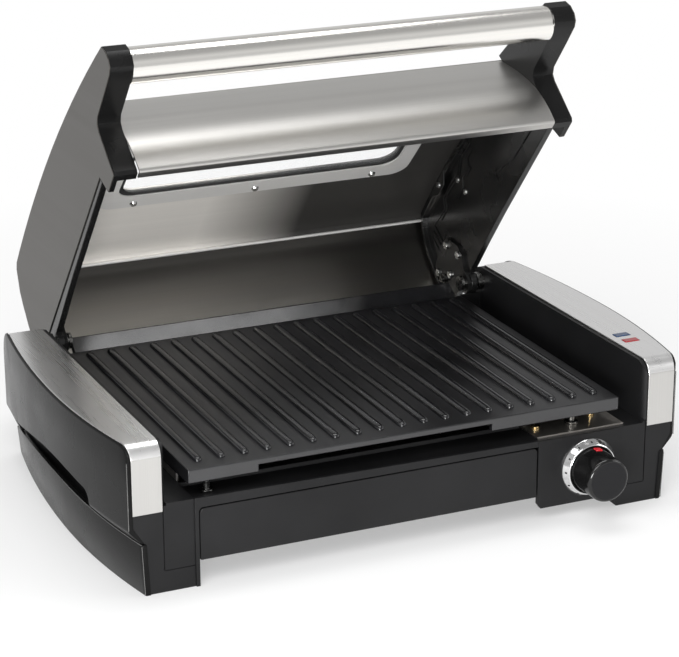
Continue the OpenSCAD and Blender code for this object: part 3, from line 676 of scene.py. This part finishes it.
def rib(x):
    """One rib with a rounded top, drawn in towards both ends."""
    y0, y1 = RIB_Y
    ys = [y0, y0 + 0.3, y0 + 1, y0 + 2.2, y0 + 4] + steps(y0 + 14, y1 - 12, 8)
    ys += [y1 - 4, y1 - 2.2, y1 - 1, y1 - 0.3, y1]
    sections = []
    for y in ys:
        d = min(y - y0, y1 - y)
        k = math.sqrt(max(0.0, 1 - (1 - min(d, RIB_END) / RIB_END) ** 2))
        w, h = RIB_HALF * (0.25 + 0.75 * k), RIB_H * (0.15 + 0.85 * k)
        rise = [(0.93, 0.45), (0.72, 0.82), (0.36, 0.98)]
        left = [(x - w * a, y, PLATE_Z + h * b) for a, b in rise]
        right = [(x + w * a, y, PLATE_Z + h * b) for a, b in reversed(rise)]
        sections.append([
            (x - w, y, PLATE_Z - 0.1), *left, (x, y, PLATE_Z + h), *right, (x + w, y, PLATE_Z - 0.1),
        ])
    return loft(sections)


PLATE_FRONT_Y = -146
END_Z = PLATE_Z - 9.2
MID_Z = PLATE_Z - 4.2
plate_body = joined(
    prism_y(PLATE_FRONT_Y, -142, [
        (-PLATE_HALF, END_Z), (-109, END_Z), (-109, MID_Z), (60, MID_Z), (60, END_Z), (PLATE_HALF, END_Z),
        (PLATE_HALF, PLATE_Z), (-PLATE_HALF, PLATE_Z),
    ]),
    prism_y(-142, 95, [
        (-PLATE_HALF, END_Z), (-PLATE_HALF + 4, END_Z), (-PLATE_HALF + 4, MID_Z), (PLATE_HALF - 4, MID_Z),
        (PLATE_HALF - 4, END_Z), (PLATE_HALF, END_Z), (PLATE_HALF, PLATE_Z), (-PLATE_HALF, PLATE_Z),
    ]),
)
plate = piece("plate_body", *plate_body, "base", plate_coating, ["grill_plate"], bevel=0.7, sharp=30)
plate.data.materials.append(front_coating)
for face in plate.data.polygons:
    if face.normal.y < -0.9 and face.center.y < (PLATE_FRONT_Y + 6) * MM:
        face.material_index = 1
piece("plate_back", *prism_x(-PLATE_HALF + 4, PLATE_HALF - 4, [
    (94.5, MID_Z), (99, MID_Z), (108.6, 85), (108.2, 86.1), (106, 86.6), (94.5, PLATE_Z - 0.3),
]), "base", rib_coating, bevel=0.5, sharp=30)
ribs = [rib((i - RIB_COUNT // 2) * RIB_PITCH) for i in range(RIB_COUNT)]
piece("plate_ribs", *joined(*ribs), "base", rib_coating, sharp=50)

# Dial

DIAL = (131.9, FRONT_Y, 34.3)
piece("dial_ring_shaped", *lathe([
    (17.2, 0), (21, 0), (21, 1.0), (20.8, 1.5), (20.3, 2.1), (18.5, 5.5), (18.1, 6.0), (17.6, 6.2),
    (17.2, 5.9), (17.2, 0),
], DIAL, count=96), "base", chrome, ["dial_ring"], sharp=40)
piece("knob_shaped", *lathe([
    (3.05, 2), (5.5, 2), (5.5, 4), (16.1, 4), (16.6, 4.4), (16.6, 5.2), (16.3, 5.8), (15.8, 7), (15.55, 15),
    (15.5, 26.4), (15.3, 27.2), (14.9, 27.9), (14.2, 28.4), (13.7, 28.5), (0, 28.5), (0, 20.1), (3.05, 20.1),
    (3.05, 2),
], DIAL, count=96), "knob", knob_black, ["knob"], sharp=40)
piece("knob_face", *lathe([
    (0, 28.4), (13.5, 28.4), (13.5, 28.52), (13.2, 28.6), (9, 28.58), (0, 28.55),
], DIAL, count=96), "knob", cap_grey, sharp=40)
dress("knob_pointer", pointer_red, 0.4)


def dial_mark(angle):
    """Small raised mark on the sloped face of the ring, at an angle from straight up, clockwise."""
    a = math.radians(angle)
    out, along = Vector((math.sin(a), 0, math.cos(a))), Vector((math.cos(a), 0, -math.sin(a)))
    normal = (out * 0.88 + Vector((0, -0.47, 0))).normalized()
    slope = normal.cross(along)
    middle = Vector(DIAL) + out * 19.42 + Vector((0, -3.8, 0))
    corners = [(-0.55, -0.8), (0.55, -0.8), (0.55, 0.8), (-0.55, 0.8)]
    low = [middle + along * u + slope * v - normal * 0.2 for u, v in corners]
    high = [middle + along * u + slope * v + normal * 0.1 for u, v in corners]
    faces = [(0, 1, 2, 3), (7, 6, 5, 4)] + [(i, i + 4, (i + 1) % 4 + 4, (i + 1) % 4) for i in range(4)]
    return [tuple(p) for p in low + high], faces


piece("dial_marks", *joined(*[dial_mark(a) for a in range(-150, 151, 30)]), "base", mark_black)

# Lid

SHELL_X = 163.3
RIM_Z = 100.6
SHEET_T = 1.2
FRONT_X = 152.3
TUBE_X = 152.4
TUBE_R = 12


def lid_top_z(y):
    return 179 - (y - 70) ** 2 / 2028


DROP = 3.6
# The flat field of the lid's top that holds the window
FLAT_Y = (-80, 58)
FLAT_Z = (lid_top_z(FLAT_Y[0]) - DROP, lid_top_z(FLAT_Y[1]) - DROP)
FLAT_L = FLAT_Y[1] - FLAT_Y[0]


def flat_z(y):
    return FLAT_Z[0] + (FLAT_Z[1] - FLAT_Z[0]) * (y - FLAT_Y[0]) / FLAT_L


rear_bend = [(133.5, 160), (137, 146), (138.6, 128), (138.6, RIM_Z)]
top_bend = [(129, 168.6), (128.4, 170.4), (127.2, 171.6), (123.5, 173.6), (110, lid_top_z(110) - DROP)]
shell_line = smooth([(129, 168.6)] + rear_bend, 5)[::-1]
shell_line += smooth(top_bend, 3)[1:]
shell_line += [(y, lid_top_z(y) - DROP) for y in steps(110, FLAT_Y[1], 10)][1:]
shell_line += [(y, flat_z(y)) for y in steps(FLAT_Y[1], FLAT_Y[0], 6)][1:]
shell_line += [(y, lid_top_z(y) - DROP) for y in steps(FLAT_Y[0], -93, 3)][1:]
shell = piece(
    "lid_shell_shaped", *prism_x(-SHELL_X, SHELL_X, strip(shell_line, SHEET_T)), "lid", inner_steel_painted_reflection,
    ["lid_shell"], sharp=35, lid=True,
)
shell.data.materials.append(wall_steel_painted_shade)
shell.data.materials.append(lid_steel)
# In metres: a point under the lid, which tells the shell's inner faces, and the height of its crease, which
# splits the painted reflection above it from the painted shade below it
INSIDE = OPEN_LID @ Vector((0, 20, 130)) * MM
CREASE_Z = 0.1158
# A bead along the shell's inner crease in light steel: the rounded fold, with a painted highlight along it.
crease = lathe([(0, -163.1), (1.2, -163.1), (1.2, 163.1), (0, 163.1)], (0, 127.3, 168), "x", 16)
piece("lid_crease", *crease, "lid", crease_highlight_steel, sharp=40, lid=True)
flat_angle = math.atan2(FLAT_Z[1] - FLAT_Z[0], FLAT_L)
TO_FLAT = Matrix.Translation((0, FLAT_Y[0], FLAT_Z[0]))
ON_WINDOW = TO_FLAT @ Matrix.Rotation(flat_angle, 4, "X") @ Matrix.Translation((0, -FLAT_Y[0], 0))


def on_window(solid):
    verts, faces = solid
    return [tuple(ON_WINDOW @ Vector(v)) for v in verts], faces


cut(shell, *on_window(prism_z(-6, 4, round_rect((-110, -70), (110, 36), 13))), lid=True)
# Outer faces keep the plain lid steel; inner faces get the painted copies: painted reflection above the
# crease, painted shade below it.
for face in shell.data.polygons:
    if face.normal.dot(INSIDE - face.center) < 0:
        face.material_index = 2
    elif face.center.z < CREASE_Z:
        face.material_index = 1

front_line = smooth([
    (-93.4, 161.4), (-101.3, 151.1), (-110, 138.7), (-117.5, 125.7), (-123.5, 111.9), (-126.9, 97.5),
    (-127.8, 85.2),
], 6) + arc((-125.8, 84.2), 2, 180, 270, 5) + [(-121, 82.2)]
front = piece(
    "lid_front_shaped", *prism_x(-FRONT_X, FRONT_X, strip(front_line, SHEET_T)), "lid", lid_steel,
    ["lid_front_panel"], sharp=40, lid=True,
)
front.data.materials.append(bracket_black)
for face in front.data.polygons:
    if abs(face.center.x) > (FRONT_X - 0.1) * MM:
        face.material_index = 1
piece("handle_tube_shaped", *lathe([
    (TUBE_R - SHEET_T, -TUBE_X), (TUBE_R, -TUBE_X), (TUBE_R, TUBE_X), (TUBE_R - SHEET_T, TUBE_X),
    (TUBE_R - SHEET_T, -TUBE_X),
], (0, -166, 139), "x", 96), "lid", tube_steel, ["handle_tube"], sharp=40, lid=True)


def ridge(line, x0=162.6, x1=163.4, width=1.5):
    """Raised strip along a line of depth and height on the inner face of a liner."""
    return prism_x(x0, x1, strip(line, width))


LINER_STRIPS = (
    [(12, 163), (30, 164), (45, 156), (62, 158), (80, 157), (84, 150), (96, 150), (112, 152)],
    [(9, 160), (29, 161), (44, 153), (62, 155), (77, 154), (81, 147), (96, 147)],
    [(10, 155), (22, 155), (25, 148), (40, 149), (44, 143), (60, 142)],
    [(109, 151), (106, 134)], [(114, 150), (111, 134)], [(119, 148), (117, 134)], [(22.6, 146.5), (34, 146)],
    [(-77, 110), (-40, 111), (-9, 120), (-8, 113)],
)
LINER_TAB = [(56, 167.5), (86, 168.5), (86, 164), (78, 159.5), (64, 159.5)]
for side, flip in (("right", lambda s: s), ("left", mirrored)):
    strips = joined(*[ridge(line) for line in LINER_STRIPS], prism_x(158.7, 159.9, LINER_TAB))
    piece(f"liner_strips_{side}", *flip(strips), "lid", liner_black, bevel=0.25, sharp=30, lid=True)
    heads = [
        lathe([(0, -1.4), (1.4, -1.3), (2.2, -0.9), (2.5, 0), (0, 0)], centre, "x", 24)
        for centre in ((158.7, 71, 164.6), (163.3, 48.6, 153.4), (163.3, 44.5, 139.5))
    ]
    piece(f"liner_screws_{side}", *flip(joined(*heads)), "lid", bright_metal, sharp=30, lid=True)
    dress(f"lid_side_panel_{side}", side_steel, 0.3)
    dress(f"lid_side_liner_{side}", liner_black, 0.6)
    dress(f"handle_bracket_{side}", bracket_black, 0.9)
    dress(f"hinge_plate_{side}", liner_black, 0.5)
dress("window_frame", frame_steel, 0.4)
dress("window_glass", glass, 0.0)
dress("hinge_screws", bright_metal, 0.35)
for node, mat in (
    ("handle_rod", bright_metal), ("window_gasket", seal_rubber), ("window_screws", bright_metal),
    ("hinge_stop_pins", dark_metal),
):
    finish_node(node, mat)

# Floor, light and background

floor_mesh = bpy.data.meshes.new("floor")
floor_mesh.from_pydata([(-4, -4, 0), (4, -4, 0), (4, 4, 0), (-4, 4, 0)], [], [(0, 1, 2, 3)])
floor = bpy.data.objects.new("floor", floor_mesh)
scene.collection.objects.link(floor)
paint = Paint("floor", 0.9, 0.0, (0.86, 0.86, 0.86))
tree = paint.tree
seen = tree.nodes.new("ShaderNodeLightPath")
glow = tree.nodes.new("ShaderNodeEmission")
glow.inputs["Color"].default_value = (1, 1, 1, 1)
glow.inputs["Strength"].default_value = 1.0
either = tree.nodes.new("ShaderNodeMath")
either.operation = "MAXIMUM"
tree.links.new(seen.outputs["Is Camera Ray"], either.inputs[0])
tree.links.new(seen.outputs["Is Glossy Ray"], either.inputs[1])
share = tree.nodes.new("ShaderNodeMath")
share.operation = "MULTIPLY"
spot = tree.nodes.new("ShaderNodeTexCoord")
far = tree.nodes.new("ShaderNodeVectorMath")
far.operation = "LENGTH"
tree.links.new(spot.outputs["Object"], far.inputs[0])
tree.links.new(paint.range(far.outputs["Value"], 0.3, 0.75, 0.38, 1.0), share.inputs[1])
tree.links.new(either.outputs[0], share.inputs[0])
blend = tree.nodes.new("ShaderNodeMixShader")
tree.links.new(share.outputs[0], blend.inputs[0])
tree.links.new(paint.shader.outputs[0], blend.inputs[1])
tree.links.new(glow.outputs[0], blend.inputs[2])
tree.links.new(blend.outputs[0], paint.out.inputs[0])
floor_mesh.materials.append(paint.mat)

world = bpy.data.worlds.new("world")
scene.world = world
world.use_nodes = True
tree = world.node_tree
tree.nodes.clear()
out = tree.nodes.new("ShaderNodeOutputWorld")
coords = tree.nodes.new("ShaderNodeTexCoord")
split = tree.nodes.new("ShaderNodeSeparateXYZ")
ramp = tree.nodes.new("ShaderNodeValToRGB")
marks = ramp.color_ramp.elements
for place_at, level in ((0.0, 0.5), (0.5, 0.6), (0.6, 0.6), (0.7, 0.72), (0.85, 0.4), (1.0, 0.35)):
    mark = marks.new(place_at) if place_at not in (0.0, 1.0) else marks[0 if place_at == 0.0 else -1]
    mark.color = (level, level, level, 1)
raised = tree.nodes.new("ShaderNodeMapRange")
raised.inputs[1].default_value = -1
raised.inputs[2].default_value = 1
tree.links.new(coords.outputs["Generated"], split.inputs[0])
tree.links.new(split.outputs[2], raised.inputs[0])
tree.links.new(raised.outputs[0], ramp.inputs[0])
soft = tree.nodes.new("ShaderNodeBackground")
soft.inputs["Strength"].default_value = 0.9
white = tree.nodes.new("ShaderNodeBackground")
white.inputs["Color"].default_value = (1, 1, 1, 1)
path = tree.nodes.new("ShaderNodeLightPath")
pick = tree.nodes.new("ShaderNodeMixShader")
tree.links.new(ramp.outputs[0], soft.inputs["Color"])
tree.links.new(path.outputs["Is Camera Ray"], pick.inputs[0])
tree.links.new(soft.outputs[0], pick.inputs[1])
tree.links.new(white.outputs[0], pick.inputs[2])
tree.links.new(pick.outputs[0], out.inputs[0])


def lamp(name, at, aim, size, power):
    data = bpy.data.lights.new(name, "AREA")
    data.shape = "RECTANGLE"
    data.size, data.size_y = size
    data.energy = power
    obj = bpy.data.objects.new(name, data)
    scene.collection.objects.link(obj)
    obj.location = at
    obj.rotation_mode = "QUATERNION"
    obj.rotation_quaternion = (Vector(aim) - Vector(at)).to_track_quat("-Z", "Y")


lamp("key", (-1.0, -1.3, 1.7), (0, 0, 0.1), (1.5, 1.2), 26)
lamp("inside", (-0.55, -1.1, 0.16), (-0.1, 0.1, 0.25), (0.5, 0.25), 12)
lamp("fill", (1.7, -0.9, 0.9), (0, 0, 0.1), (0.9, 0.9), 7)
lamp("top", (0.1, 0.3, 1.9), (0, 0, 0.1), (1.3, 0.7), 14)

scene.view_settings.view_transform = "Standard"
